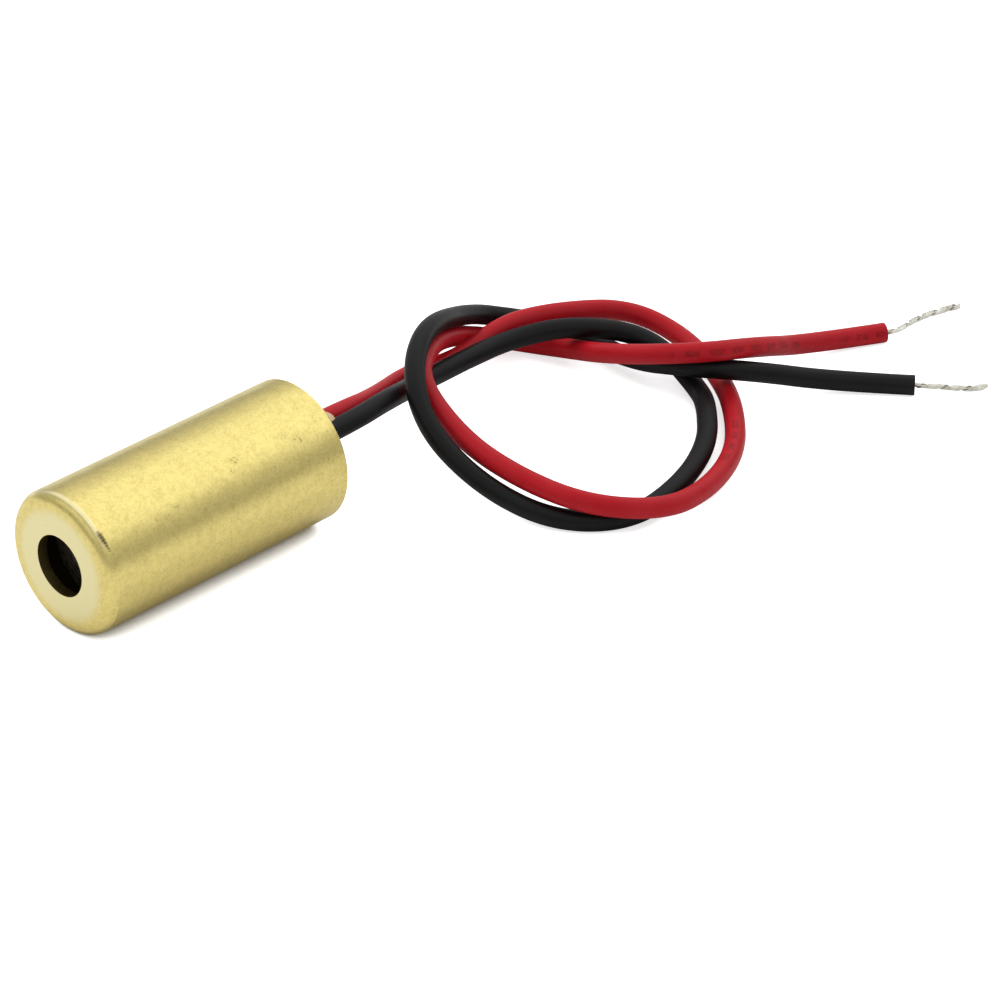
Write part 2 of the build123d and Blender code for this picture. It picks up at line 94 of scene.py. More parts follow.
# The stain on the barrel's front edge, as spots that run together: place, radius and darkness
STAIN = [
    ((3.02, 0.50, 3.33), 0.20, 0.64),
    ((3.14, 0.52, 3.22), 0.25, 0.92),
    ((3.26, 0.54, 3.10), 0.25, 0.92),
    ((3.38, 0.56, 2.97), 0.25, 0.92),
    ((3.50, 0.58, 2.83), 0.21, 0.92),
    ((3.61, 0.60, 2.69), 0.18, 0.83),
    ((3.71, 0.62, 2.55), 0.14, 0.74),
    ((3.80, 0.63, 2.41), 0.10, 0.64),
]

# Marks that handling left on the barrel, each a patch of fine specks: place, radius and darkness
BARREL_MARKS = [
    ((2.80, 11.07, 3.52), 0.42, 0.90),
    ((3.15, 10.66, 3.21), 0.34, 0.60),
    ((3.10, 15.76, 3.26), 0.42, 0.90),
    ((3.33, 15.87, 3.03), 0.34, 0.90),
    ((3.77, 13.20, 2.46), 0.31, 0.60),
    ((2.77, 15.08, 3.54), 0.32, 0.60),
    ((2.66, 17.54, 3.63), 0.34, 0.52),
    ((1.69, 16.95, 4.17), 0.31, 0.52),
    ((4.47, 13.52, -0.53), 0.26, 0.75),
    ((3.45, 5.96, 2.88), 0.37, 0.60),
    ((3.64, 5.08, 2.64), 0.34, 0.60),
    ((3.53, 4.48, 2.79), 0.34, 0.75),
    ((4.44, 9.78, 0.74), 0.31, 0.45),
]

# The photograph's camera: its place in millimetres and its own right, up and backward directions
CAMERA_PLACE = (166.616, -132.848, 132.622)
CAMERA_RIGHT = (0.71141, 0.70277, 0.0)
CAMERA_UP = (-0.36416, 0.36864, 0.85527)
CAMERA_BACK = (0.60106, -0.60845, 0.51818)


def linear(hex_colour):
    """An sRGB hex colour as linear light with full alpha."""
    channels = [int(hex_colour[i:i + 2], 16) / 255 for i in (1, 3, 5)]
    return (*(c / 12.92 if c <= 0.04045 else ((c + 0.055) / 1.055) ** 2.4 for c in channels), 1.0)


def add_node(tree, kind, inputs=None, stops=None, **settings):
    """Adds a node with its settings and colour stops, and sets or links its inputs."""
    node = tree.nodes.new(kind)
    for name, value in settings.items():
        setattr(node, name, value)
    if stops:
        elements = node.color_ramp.elements
        while len(elements) < len(stops):
            elements.new(0.5)
        for element, (position, colour) in zip(elements, stops):
            element.position = position
            element.color = colour
    for name, value in (inputs or {}).items():
        if isinstance(value, bpy.types.NodeSocket):
            tree.links.new(value, node.inputs[name])
        else:
            node.inputs[name].default_value = value
    return node


def start_material(name):
    """A new material with a shader joined to its output. Returns it, its node tree and the shader."""
    material = bpy.data.materials.new(name)
    material.use_nodes = True
    tree = material.node_tree
    tree.nodes.clear()
    shader = add_node(tree, "ShaderNodeBsdfPrincipled")
    add_node(tree, "ShaderNodeOutputMaterial", {"Surface": shader.outputs["BSDF"]})
    return material, tree, shader


def mottled(name, light, dark, patch, grain, relief, roughness, **sockets):
    """A material with two close colours in soft patches, a fine grain that bumps it, and uneven gloss.

    patch and grain are the widths of one patch and one grain, and relief the height of a grain, in metres.
    """
    material, tree, shader = start_material(name)
    place = add_node(tree, "ShaderNodeTexCoord").outputs["Object"]
    patches = add_node(tree, "ShaderNodeTexNoise", {"Vector": place, "Scale": 1 / patch, "Detail": 4.0})
    colour = add_node(tree, "ShaderNodeValToRGB", {"Fac": patches.outputs["Fac"]}, [(0.3, dark), (0.7, light)])
    gloss = add_node(tree, "ShaderNodeMapRange", {"Value": patches.outputs["Fac"], "From Min": 0.3, "From Max": 0.7,
                                                  "To Min": roughness[0], "To Max": roughness[1]})
    grains = add_node(tree, "ShaderNodeTexNoise", {"Vector": place, "Scale": 1 / grain, "Detail": 2.0})
    bump = add_node(tree, "ShaderNodeBump", {"Height": grains.outputs["Fac"], "Distance": relief, "Strength": 1.0})
    tree.links.new(colour.outputs["Color"], shader.inputs["Base Color"])
    tree.links.new(gloss.outputs["Result"], shader.inputs["Roughness"])
    tree.links.new(bump.outputs["Normal"], shader.inputs["Normal"])
    for socket, value in sockets.items():
        shader.inputs[socket.replace("_", " ")].default_value = value
    return material


def turned_brass(settings):
    """The barrel's brass."""
    # Free-cutting brass, turned and then tumbled to a satin: pale yellow with a fine even grain and small pits, a few
    # dark handling marks and a paler faced front. The bores are darkened with depth as painted shade, and the burr's
    # upper part and the rear rim are lightened as painted highlights
    material, tree, shader = start_material("turned_brass")
    place = add_node(tree, "ShaderNodeTexCoord").outputs["Object"]
    clouds = add_node(tree, "ShaderNodeTexNoise", {"Vector": place, "Scale": 1 / settings.mottle_size, "Detail": 5.0,
                                                   "Roughness": 0.7})
    grains = add_node(tree, "ShaderNodeTexNoise", {"Vector": place, "Scale": 1 / settings.grain_size, "Detail": 3.0,
                                                   "Roughness": 0.6})
    tone = add_node(tree, "ShaderNodeMix", {"Factor": 0.5, 2: clouds.outputs["Fac"], 3: grains.outputs["Fac"]})
    colour = add_node(tree, "ShaderNodeValToRGB", {"Fac": tone.outputs["Result"]},
                      [(0.37, settings.tarnish_colour), (0.57, settings.brass_colour)])
    along = add_node(tree, "ShaderNodeSeparateXYZ", {"Vector": place}).outputs
    flat = add_node(tree, "ShaderNodeCombineXYZ", {"X": along["X"], "Z": along["Z"]})
    radius = add_node(tree, "ShaderNodeVectorMath", {0: flat.outputs["Vector"]}, operation="LENGTH")
    faced = add_node(tree, "ShaderNodeMapRange", {"Value": radius.outputs["Value"], "From Min": 3.0 * MM,
                                                  "From Max": 3.8 * MM, "To Min": 1.0, "To Max": 0.0},
                     interpolation_type="SMOOTHSTEP")
    skin = add_node(tree, "ShaderNodeMix", {"Factor": faced.outputs["Result"], 6: colour.outputs["Color"],
                                            7: settings.face_colour}, data_type="RGBA")
    ragged = add_node(tree, "ShaderNodeTexNoise", {"Vector": place, "Scale": 1 / (0.22 * MM), "Detail": 3.0})
    warp = add_node(tree, "ShaderNodeVectorMath", {0: ragged.outputs["Color"], 1: (0.5, 0.5, 0.5)},
                    operation="SUBTRACT")
    # The burr that the tool turned up where the rounded edge meets the side, higher towards the top. Its upper part,
    # and the rear rim below, are lightened towards a pale colour as a painted highlight
    burr = add_node(tree, "ShaderNodeMath", {0: along["Y"], 1: 0.46 * MM}, operation="SUBTRACT")
    burr = add_node(tree, "ShaderNodeMath", {0: burr.outputs["Value"]}, operation="ABSOLUTE")
    burr = add_node(tree, "ShaderNodeMapRange", {"Value": burr.outputs["Value"], "From Max": 0.24 * MM,
                                                 "To Min": 1.0, "To Max": 0.0}, interpolation_type="SMOOTHERSTEP")
    over = add_node(tree, "ShaderNodeMapRange", {"Value": along["Z"], "From Min": 2.2 * MM,
                                                 "From Max": 3.6 * MM})
    burr = add_node(tree, "ShaderNodeMath", {0: burr.outputs["Result"], 1: over.outputs["Result"]},
                    operation="MULTIPLY")
    # The rear rim gets the same painted highlight as the burr's upper part
    rim = add_node(tree, "ShaderNodeMapRange", {"Value": along["Y"], "From Min": 18.5 * MM, "From Max": 18.58 * MM})
    wear_and_highlight = add_node(tree, "ShaderNodeMath", {0: burr.outputs["Value"], 1: rim.outputs["Result"]},
                      operation="MAXIMUM")
    wear_and_highlight = add_node(tree, "ShaderNodeMath", {0: wear_and_highlight.outputs["Value"], 1: 0.7}, operation="MULTIPLY")
    # Mixes the painted highlight's pale colour into the brass
    skin = add_node(tree, "ShaderNodeMix", {"Factor": wear_and_highlight.outputs["Value"], 6: skin.outputs[2],
                                            7: settings.crest_highlight_colour}, data_type="RGBA")
    specks = add_node(tree, "ShaderNodeTexNoise", {"Vector": place, "Scale": 1 / (0.16 * MM), "Detail": 2.0})
    specks = add_node(tree, "ShaderNodeMapRange", {"Value": specks.outputs["Fac"], "From Min": 0.50, "From Max": 0.62,
                                                   "To Max": 0.6}, interpolation_type="SMOOTHSTEP")
    shares = []
    for spots, raggedness, core in ((STAIN, 0.10, 0.15), (BARREL_MARKS, 0.60, 0.35)):
        warped = add_node(tree, "ShaderNodeVectorMath", {0: warp.outputs["Vector"], 2: place,
                                                         1: Vector.Fill(3, raggedness * MM)}, operation="MULTIPLY_ADD")
        share = None
        for centre, reach, darkness in spots:
            away = add_node(tree, "ShaderNodeVectorMath", {0: warped.outputs["Vector"], 1: Vector(centre) * MM},
                            operation="DISTANCE")
            inside = add_node(tree, "ShaderNodeMapRange", {"Value": away.outputs["Value"],
                                                           "From Min": reach * core * MM, "From Max": reach * MM,
                                                           "To Min": darkness, "To Max": 0.0},
                              interpolation_type="SMOOTHSTEP").outputs["Result"]
            share = inside if share is None else add_node(tree, "ShaderNodeMath", {0: share, 1: inside},
                                                          operation="MAXIMUM").outputs["Value"]
        shares.append(share)
    pressed = add_node(tree, "ShaderNodeMath", {0: shares[1], 1: specks.outputs["Result"]}, operation="MULTIPLY")
    share = add_node(tree, "ShaderNodeMath", {0: pressed.outputs["Value"], 1: shares[0]},
                     operation="ADD").outputs["Value"]
    pits = add_node(tree, "ShaderNodeTexNoise", {"Vector": place, "Scale": 1 / (0.13 * MM), "Detail": 1.0})
    pits = add_node(tree, "ShaderNodeMapRange", {"Value": pits.outputs["Fac"], "From Min": 0.69, "From Max": 0.78},
                    interpolation_type="SMOOTHSTEP")
    worn = add_node(tree, "ShaderNodeTexNoise", {"Vector": place, "Scale": 1 / (2.6 * MM), "Detail": 2.0})
    worn = add_node(tree, "ShaderNodeMapRange", {"Value": worn.outputs["Fac"], "From Min": 0.45, "From Max": 0.65})
    pitted = add_node(tree, "ShaderNodeMath", {0: pits.outputs["Result"], 1: worn.outputs["Result"]},
                      operation="MULTIPLY")
    share = add_node(tree, "ShaderNodeMath", {0: pitted.outputs["Value"], 1: 0.45, 2: share},
                     operation="MULTIPLY_ADD", use_clamp=True).outputs["Value"]
    marked = add_node(tree, "ShaderNodeMix", {"Factor": share, 6: skin.outputs[2], 7: settings.mark_colour},
                      data_type="RGBA")
    # Painted shade: inside the aperture and the bores the brass is darkened with depth from the front, down to dark
    # brown
    limit = add_node(tree, "ShaderNodeMapRange", {"Value": along["Y"], "From Min": 0.6 * MM, "From Max": 0.7 * MM,
                                                  "To Min": 2.1 * MM, "To Max": 3.95 * MM})
    within = add_node(tree, "ShaderNodeMath", {0: radius.outputs["Value"], 1: limit.outputs["Result"]},
                      operation="LESS_THAN")
    behind = add_node(tree, "ShaderNodeMath", {0: along["Y"], 1: 0.03 * MM}, operation="GREATER_THAN")
    ahead = add_node(tree, "ShaderNodeMath", {0: along["Y"], 1: 18.4 * MM}, operation="LESS_THAN")
    bore_shade_mask = add_node(tree, "ShaderNodeMath", {0: within.outputs["Value"], 1: behind.outputs["Value"]},
                      operation="MULTIPLY")
    bore_shade_mask = add_node(tree, "ShaderNodeMath", {0: bore_shade_mask.outputs["Value"], 1: ahead.outputs["Value"]},
                      operation="MULTIPLY")
    bore_shade_depth = add_node(tree, "ShaderNodeMapRange", {"Value": along["Y"], "From Min": 0.0, "From Max": 1.4 * MM})
    bore = add_node(tree, "ShaderNodeValToRGB", {"Fac": bore_shade_depth.outputs["Result"]},
                    [(0.0, linear("#E6D28E")), (0.47, linear("#AC965A")), (0.56, linear("#4A4024"))])
    whole = add_node(tree, "ShaderNodeMix", {"Factor": bore_shade_mask.outputs["Value"], 6: marked.outputs[2],
                                             7: bore.outputs["Color"]}, data_type="RGBA")
    gloss = add_node(tree, "ShaderNodeMapRange", {"Value": clouds.outputs["Fac"], "From Min": 0.3, "From Max": 0.7,
                                                  "To Min": settings.roughness + 0.04, "To Max": settings.roughness})
    height = add_node(tree, "ShaderNodeMath", {0: pressed.outputs["Value"], 1: -1.5, 2: grains.outputs["Fac"]},
                      operation="MULTIPLY_ADD")
    height = add_node(tree, "ShaderNodeMath", {0: burr.outputs["Value"], 1: 6.0, 2: height.outputs["Value"]},
                      operation="MULTIPLY_ADD")
    dents = add_node(tree, "ShaderNodeTexNoise", {"Vector": place, "Scale": 1 / (2.2 * MM), "Detail": 1.0})
    height = add_node(tree, "ShaderNodeMath", {0: dents.outputs["Fac"], 1: 6.0, 2: height.outputs["Value"]},
                      operation="MULTIPLY_ADD")
    bump = add_node(tree, "ShaderNodeBump", {"Height": height.outputs["Value"], "Distance": settings.grain_height,
                                             "Strength": 1.0})
    tree.links.new(whole.outputs[2], shader.inputs["Base Color"])
    tree.links.new(gloss.outputs["Result"], shader.inputs["Roughness"])
    tree.links.new(bump.outputs["Normal"], shader.inputs["Normal"])
    shader.inputs["Metallic"].default_value = 1.0
    return material


def plain_brass():
    """The inner sleeve's brass."""
    # The same brass as turned, without the tumbling: warmer, with a closer shine
    return mottled("plain_brass", linear("#E6CE7E"), linear("#C9AE62"), 2 * MM, 0.12 * MM, 0.003 * MM, (0.3, 0.22),
                   Metallic=1.0)


def black_anodised_aluminium():
    """The lens cell's and the focus spacer's finish."""
    # Aluminium anodised black after turning: a matt dark grey that still shows the tool's fine rings
    material, tree, shader = start_material("black_anodised_aluminium")
    place = add_node(tree, "ShaderNodeTexCoord").outputs["Object"]
    along = add_node(tree, "ShaderNodeSeparateXYZ", {"Vector": place}).outputs
    flat = add_node(tree, "ShaderNodeCombineXYZ", {"X": along["X"], "Z": along["Z"]})
    radius = add_node(tree, "ShaderNodeVectorMath", {0: flat.outputs["Vector"]}, operation="LENGTH")
    turns = add_node(tree, "ShaderNodeMath", {0: radius.outputs["Value"], 1: 2 * pi / (0.3 * MM)},
                     operation="MULTIPLY")
    rings = add_node(tree, "ShaderNodeMath", {0: turns.outputs["Value"]}, operation="SINE")
    dust = add_node(tree, "ShaderNodeTexNoise", {"Vector": place, "Scale": 1 / (0.4 * MM), "Detail": 3.0})
    colour = add_node(tree, "ShaderNodeValToRGB", {"Fac": dust.outputs["Fac"]},
                      [(0.35, linear("#3A3430")), (0.7, linear("#5C524A"))])
    bump = add_node(tree, "ShaderNodeBump", {"Height": rings.outputs["Value"], "Distance": 0.02 * MM,
                                             "Strength": 1.0})
    tree.links.new(colour.outputs["Color"], shader.inputs["Base Color"])
    tree.links.new(bump.outputs["Normal"], shader.inputs["Normal"])
    shader.inputs["Roughness"].default_value = 0.45
    return material


def clear_glass(name, tint):
    """The lens, the window and the pins' seals."""
    # Optical glass, polished: clear, with faint haze from handling
    material, tree, shader = start_material(name)
    place = add_node(tree, "ShaderNodeTexCoord").outputs["Object"]
    haze = add_node(tree, "ShaderNodeTexNoise", {"Vector": place, "Scale": 1 / (0.8 * MM), "Detail": 2.0})
    gloss = add_node(tree, "ShaderNodeMapRange", {"Value": haze.outputs["Fac"], "From Min": 0.3, "From Max": 0.7,
                                                  "To Min": 0.02, "To Max": 0.06})
    tree.links.new(gloss.outputs["Result"], shader.inputs["Roughness"])
    shader.inputs["Base Color"].default_value = tint
    shader.inputs["Transmission Weight"].default_value = 1.0
    shader.inputs["IOR"].default_value = 1.52
    return material


def ended(name, node, axis, half_body, body, metal, roughness):
    """A part with a moulded or fired body and bare metal beyond half_body from its middle along an axis."""
    material, tree, shader = start_material(name)
    low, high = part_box(node)
    middle = (Vector(low) + Vector(high)) / 2
    place = add_node(tree, "ShaderNodeTexCoord").outputs["Object"]
    offset = add_node(tree, "ShaderNodeVectorMath", {0: place, 1: middle}, operation="SUBTRACT")
    split = add_node(tree, "ShaderNodeSeparateXYZ", {"Vector": offset.outputs["Vector"]})
    reach = add_node(tree, "ShaderNodeMath", {0: split.outputs[axis]}, operation="ABSOLUTE")
    is_metal = add_node(tree, "ShaderNodeMath", {0: reach.outputs["Value"], 1: half_body}, operation="GREATER_THAN")
    specks = add_node(tree, "ShaderNodeTexNoise", {"Vector": place, "Scale": 1 / (0.1 * MM), "Detail": 3.0})
    shade = add_node(tree, "ShaderNodeMapRange", {"Value": specks.outputs["Fac"], "To Min": 0.8, "To Max": 1.15})
    colour = add_node(tree, "ShaderNodeMix", {"Factor": is_metal.outputs["Value"], 6: body, 7: metal},
                      data_type="RGBA")
    toned = add_node(tree, "ShaderNodeVectorMath", {0: colour.outputs[2], "Scale": shade.outputs["Result"]},
                     operation="SCALE")
    bump = add_node(tree, "ShaderNodeBump", {"Height": specks.outputs["Fac"], "Distance": 0.004 * MM})
    tree.links.new(toned.outputs["Vector"], shader.inputs["Base Color"])
    tree.links.new(is_metal.outputs["Value"], shader.inputs["Metallic"])
    tree.links.new(bump.outputs["Normal"], shader.inputs["Normal"])
    shader.inputs["Roughness"].default_value = roughness
    return material


def potting_resin(settings):
    """The resin in the barrel's rear."""
    # Filled epoxy, poured and set: cream, a little translucent, glossy, with a skin that sagged as it cured
    material = mottled("potting_resin", settings.resin_colour, linear("#E4C48E"), 1.2 * MM, 0.5 * MM, 0.03 * MM,
                       (0.28, 0.2), IOR=1.55, Subsurface_Weight=0.15, Subsurface_Scale=0.5 * MM)
    material.node_tree.nodes["Principled BSDF"].inputs["Subsurface Radius"].default_value = (1.0, 0.7, 0.4)
    return material


def insulation(name, colour, scuffed, print_colour, roughness):
    """A lead's insulation. Its own map runs once round the lead, and along it in metres."""
    # Extruded soft PVC: an even colour with a satin skin, faint draw lines along it and rubbed patches.
    # The marking is a row of plain broken dashes along one side
    material, tree, shader = start_material(name)
    place = add_node(tree, "ShaderNodeTexCoord")
    wear_and_highlight = add_node(tree, "ShaderNodeTexNoise", {"Vector": place.outputs["Object"], "Scale": 1 / (2.5 * MM),
                                                   "Detail": 4.0, "Roughness": 0.6})
    skin = add_node(tree, "ShaderNodeValToRGB", {"Fac": wear_and_highlight.outputs["Fac"]}, [(0.35, colour), (0.75, scuffed)])
    lines_at = add_node(tree, "ShaderNodeVectorMath", {0: place.outputs["UV"], 1: (60.0, 1 / (8 * MM), 1.0)},
                        operation="MULTIPLY")
    draw_lines = add_node(tree, "ShaderNodeTexNoise", {"Vector": lines_at.outputs["Vector"], "Scale": 1.0})
    fine = add_node(tree, "ShaderNodeTexNoise", {"Vector": place.outputs["Object"], "Scale": 1 / (0.15 * MM)})
    height = add_node(tree, "ShaderNodeMath", {0: draw_lines.outputs["Fac"], 1: fine.outputs["Fac"]},
                      operation="ADD")
    bump = add_node(tree, "ShaderNodeBump", {"Height": height.outputs["Value"], "Distance": 0.004 * MM,
                                             "Strength": 1.0})
    surface = skin.outputs["Color"]
    if print_colour:
        split = add_node(tree, "ShaderNodeSeparateXYZ", {"Vector": place.outputs["UV"]})
        side = add_node(tree, "ShaderNodeMapRange", {"Value": split.outputs["Y"], "From Min": 60 * MM,
                                                     "From Max": 100 * MM, "To Max": 0.19})
        aside = add_node(tree, "ShaderNodeMath", {0: split.outputs["X"], 1: side.outputs["Result"]},
                         operation="SUBTRACT")
        aside = add_node(tree, "ShaderNodeMath", {0: aside.outputs["Value"]}, operation="ABSOLUTE")
        band = add_node(tree, "ShaderNodeMath", {0: aside.outputs["Value"], 1: 0.05}, operation="LESS_THAN")
        dash = add_node(tree, "ShaderNodeMath", {0: split.outputs["Y"], 1: 1 / (1.4 * MM)}, operation="MULTIPLY")
        dash = add_node(tree, "ShaderNodeMath", {0: dash.outputs["Value"]}, operation="FRACT")
        dash = add_node(tree, "ShaderNodeMath", {0: dash.outputs["Value"], 1: 0.62}, operation="LESS_THAN")
        shown = add_node(tree, "ShaderNodeMapRange", {"Value": split.outputs["Y"], "From Max": 126 * MM})
        group = add_node(tree, "ShaderNodeValToRGB", {"Fac": shown.outputs["Result"]},
                         [(0.386, BLACK), (0.388, WHITE), (0.43, WHITE), (0.432, BLACK), (0.861, BLACK), (0.863, WHITE),
                          (0.941, WHITE), (0.943, BLACK), (0.968, BLACK), (0.970, WHITE)])
        worn = add_node(tree, "ShaderNodeMapRange", {"Value": fine.outputs["Fac"], "From Min": 0.4, "From Max": 0.6,
                                                     "To Min": 0.15, "To Max": 0.65})
        share = worn.outputs["Result"]
        for factor in (band, dash, group):
            share = add_node(tree, "ShaderNodeMath", {0: share, 1: factor.outputs[0]},
                             operation="MULTIPLY").outputs["Value"]
        surface = add_node(tree, "ShaderNodeMix", {"Factor": share, 6: surface, 7: print_colour},
                           data_type="RGBA").outputs[2]
    gloss = add_node(tree, "ShaderNodeMapRange", {"Value": wear_and_highlight.outputs["Fac"], "From Min": 0.3, "From Max": 0.7,
                                                  "To Min": roughness, "To Max": roughness + 0.1})
    tree.links.new(surface, shader.inputs["Base Color"])
    tree.links.new(gloss.outputs["Result"], shader.inputs["Roughness"])
    tree.links.new(bump.outputs["Normal"], shader.inputs["Normal"])
    shader.inputs["IOR"].default_value = 1.5
    shader.inputs["Specular IOR Level"].default_value = 0.18
    return material


def tinned_copper():
    """The leads' bare strands."""
    # Copper wire dipped in tin: silver with a grey cast, brighter where the strands rub, and dull in between
    return mottled("tinned_copper", linear("#F2F1EA"), linear("#C4C0AE"), 0.5 * MM, 0.08 * MM, 0.004 * MM,
                   (0.34, 0.24), Metallic=1.0)


def dress(material, *nodes):
    """These CAD pieces get a finish in place of the plain one."""
    for name in nodes:
        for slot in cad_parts[name].material_slots:
            slot.material = material


def route_points(name, route, steps):
    """Points along the smooth spline that a route in millimetres controls, in metres."""
    curve = bpy.data.curves.new(name, "CURVE")
    curve.dimensions = "3D"
    spline = curve.splines.new("NURBS")
    spline.points.add(len(route) - 1)
    for point, place in zip(spline.points, route):
        point.co = (*(Vector(place) * MM), 1.0)
    spline.order_u = 3
    spline.use_endpoint_u = True
    spline.resolution_u = steps
    guide = bpy.data.objects.new(name, curve)
    mesh = bpy.data.meshes.new_from_object(guide)
    points = [vertex.co.copy() for vertex in mesh.vertices]
    bpy.data.objects.remove(guide)
    bpy.data.curves.remove(curve)
    bpy.data.meshes.remove(mesh)
    return points


def ring_frames(points):
    """At each point the way across, the way up and the way ahead, as a matrix placed there."""
    frames = []
    for i, point in enumerate(points):
        ahead = (points[min(i + 1, len(points) - 1)] - points[max(i - 1, 0)]).normalized()
        across = ahead.cross(UP).normalized()
        over = across.cross(ahead)
        turn = Matrix((across, over, ahead)).transposed()
        frames.append(Matrix.Translation(point) @ turn.to_4x4())
    return frames


def sweep(bm, rings, segments):
    """Draws a circle through the rings, each a frame and a radius. Returns the first and last ring's edges.

    The layers named around and along keep each vertex's place on the ring and the length to it.
    """
    around = bm.verts.layers.float["around"]
    along = bm.verts.layers.float["along"]
    first_frame, first_radius = rings[0]
    made = bmesh.ops.create_circle(bm, radius=1.0, segments=segments)
    verts = made["verts"]
    for vert in verts:
        vert[around] = atan2(vert.co.x, vert.co.y) / (2 * pi)
    edges = list({edge for vert in verts for edge in vert.link_edges})
    first_edges = edges
    placed = first_frame @ Matrix.Scale(first_radius, 4)
    bmesh.ops.transform(bm, matrix=placed, verts=verts)
    length = 0.0
    for ring, radius in rings[1:]:
        grown = bmesh.ops.extrude_edge_only(bm, edges=edges)["geom"]
        verts = [item for item in grown if isinstance(item, bmesh.types.BMVert)]
        edges = [item for item in grown if isinstance(item, bmesh.types.BMEdge)]
        target = ring @ Matrix.Scale(radius, 4)
        length += (target.translation - placed.translation).length
        bmesh.ops.transform(bm, matrix=target @ placed.inverted(), verts=verts)
        for vert in verts:
            vert[along] = length
        placed = target
    return first_edges, edges


def finish_mesh(bm, name, sharp=None):
    """Turns a bmesh into an object in the scene, smooth but for edges sharper than an angle."""
    bmesh.ops.recalc_face_normals(bm, faces=bm.faces)
    for face in bm.faces:
        face.smooth = True
    mesh = bpy.data.meshes.new(name)
    bm.to_mesh(mesh)
    bm.free()
    if sharp is not None:
        mesh.set_sharp_from_angle(angle=sharp)
    piece = bpy.data.objects.new(name, mesh)
    bpy.context.scene.collection.objects.link(piece)
    return piece


def start_tube():
    """A bmesh with the layers that sweep fills and a map."""
    bm = bmesh.new()
    bm.verts.layers.float.new("around")
    bm.verts.layers.float.new("along")
    bm.loops.layers.uv.new("UVMap")
    return bm


def map_tube(bm):
    """Lays the map: once round the tube, and along it in metres."""
    around = bm.verts.layers.float["around"]
    along = bm.verts.layers.float["along"]
    uv = bm.loops.layers.uv["UVMap"]
    for face in bm.faces:
        turns = [loop.vert[around] for loop in face.loops]
        wrapped = max(turns) - min(turns) > 0.5
        for loop, turn in zip(face.loops, turns):
            loop[uv].uv = (turn + 1.0 if wrapped and turn < 0.0 else turn, loop.vert[along])


def insulated_lead(name, route, settings, seed):
    """A lead's insulation from inside the resin to its cut end, and the points that it follows."""
    points = route_points(name + "_line", route, settings.steps)
    frames = ring_frames(points)
    radius = settings.lead_diameter / 2
    rings = []
    for i, ring in enumerate(frames):
        swell = 1 + 0.012 * noise.noise(Vector((i * 0.11, seed, 0.0)))
        rings.append((ring, radius * swell))
    last = frames[-1]
    bore = settings.bundle_diameter / 2
    rings[-1] = (last @ Matrix.Translation((0, 0, -0.08 * MM)), radius)
    rings.append((last @ Matrix.Translation((0, 0, -0.01 * MM)), radius * 0.995))
    rings.append((last, radius * 0.97))
    rings.append((last, bore * 1.12))
    rings.append((last @ Matrix.Translation((0, 0, -0.35 * MM)), bore * 1.05))
    bm = start_tube()
    first_edges, last_edges = sweep(bm, rings, 28)
    bmesh.ops.edgeloop_fill(bm, edges=first_edges)
    bmesh.ops.edgeloop_fill(bm, edges=last_edges)
    map_tube(bm)
    piece = finish_mesh(bm, name, sharp=radians(50))
    return piece, points


def bare_strands(name, route, tip_route, settings, seed):
    """The twisted strands that stand out of a lead's cut end."""
    end = Vector(route[-1])
    onward = (end - Vector(route[-2])).normalized()
    line = [end - onward * 1.5, end, end + onward, *tip_route]
    frames = ring_frames(route_points(name + "_line", line, settings.steps))
    length = sum((b.translation - a.translation).length for a, b in zip(frames, frames[1:]))
    thickness = settings.bundle_diameter / 3.7
    bm = start_tube()
    for strand in range(7):
        lay = 0.0 if strand == 0 else thickness * 1.02
        clump = (strand % 2) / 2 + (strand // 2 - 1) * 0.13
        travelled = 0.0
        points = []
        stop = 1.0 - 0.05 * abs(noise.noise(Vector((strand * 1.7, seed, 0.3))))
        for i, ring in enumerate(frames):
            if i:
                travelled += (ring.translation - frames[i - 1].translation).length
            share = travelled / length
            if share > stop:
                break
            turn = 2 * pi * (travelled / settings.strand_pitch + clump)
            loose = 0.9 + 0.45 * share + 0.2 * noise.noise(Vector((share * 6, clump * 2, seed)))
            points.append(ring @ Vector((lay * loose * cos(turn), lay * loose * sin(turn), 0.0)))
        rings = [(ring, thickness / 2) for ring in ring_frames(points)]
        first_edges, last_edges = sweep(bm, rings, 9)
        bmesh.ops.edgeloop_fill(bm, edges=first_edges)
        bmesh.ops.edgeloop_fill(bm, edges=last_edges)
    map_tube(bm)
    return finish_mesh(bm, name, sharp=radians(50))


class BarrelSettings(bpy.types.PropertyGroup):
    """The brass barrel's finish."""
    brass_colour: FloatVectorProperty(name="Brass", description="Colour of the clean satin brass", subtype="COLOR",
                                      size=4, min=0.0, max=1.0, default=linear("#ECDA8A"))
    tarnish_colour: FloatVectorProperty(name="Tarnish", description="Colour of the duller patches",
                                        subtype="COLOR", size=4, min=0.0, max=1.0, default=linear("#D8C67A"))
    face_colour: FloatVectorProperty(name="Face", description="Colour of the faced front", subtype="COLOR", size=4,
                                     min=0.0, max=1.0, default=linear("#EBE1AC"))
    # A painted highlight: this pale colour lightens the burr's upper part and the rear rim, where light catches them
    crest_highlight_colour: FloatVectorProperty(name="Crest highlight", description="Colour of the painted highlight on the burr and the rear rim",
                                       subtype="COLOR", size=4, min=0.0, max=1.0, default=linear("#FFF4C4"))
    mark_colour: FloatVectorProperty(name="Marks", description="Colour of the small handling marks",
                                     subtype="COLOR", size=4, min=0.0, max=1.0, default=linear("#4A3B1E"))
    mottle_size: FloatProperty(name="Mottle size", description="Width of one duller patch", default=0.0005,
                               unit="LENGTH")
    grain_size: FloatProperty(name="Grain size", description="Width of one grain, drawn as coarse as it shows",
                              default=0.00016, unit="LENGTH")
    grain_height: FloatProperty(name="Grain height", description="Height of one grain", default=0.000008,
                                unit="LENGTH")
    roughness: FloatProperty(name="Roughness", description="How far the satin spreads a reflection", default=0.29,
                             subtype="FACTOR", min=0.0, max=1.0)


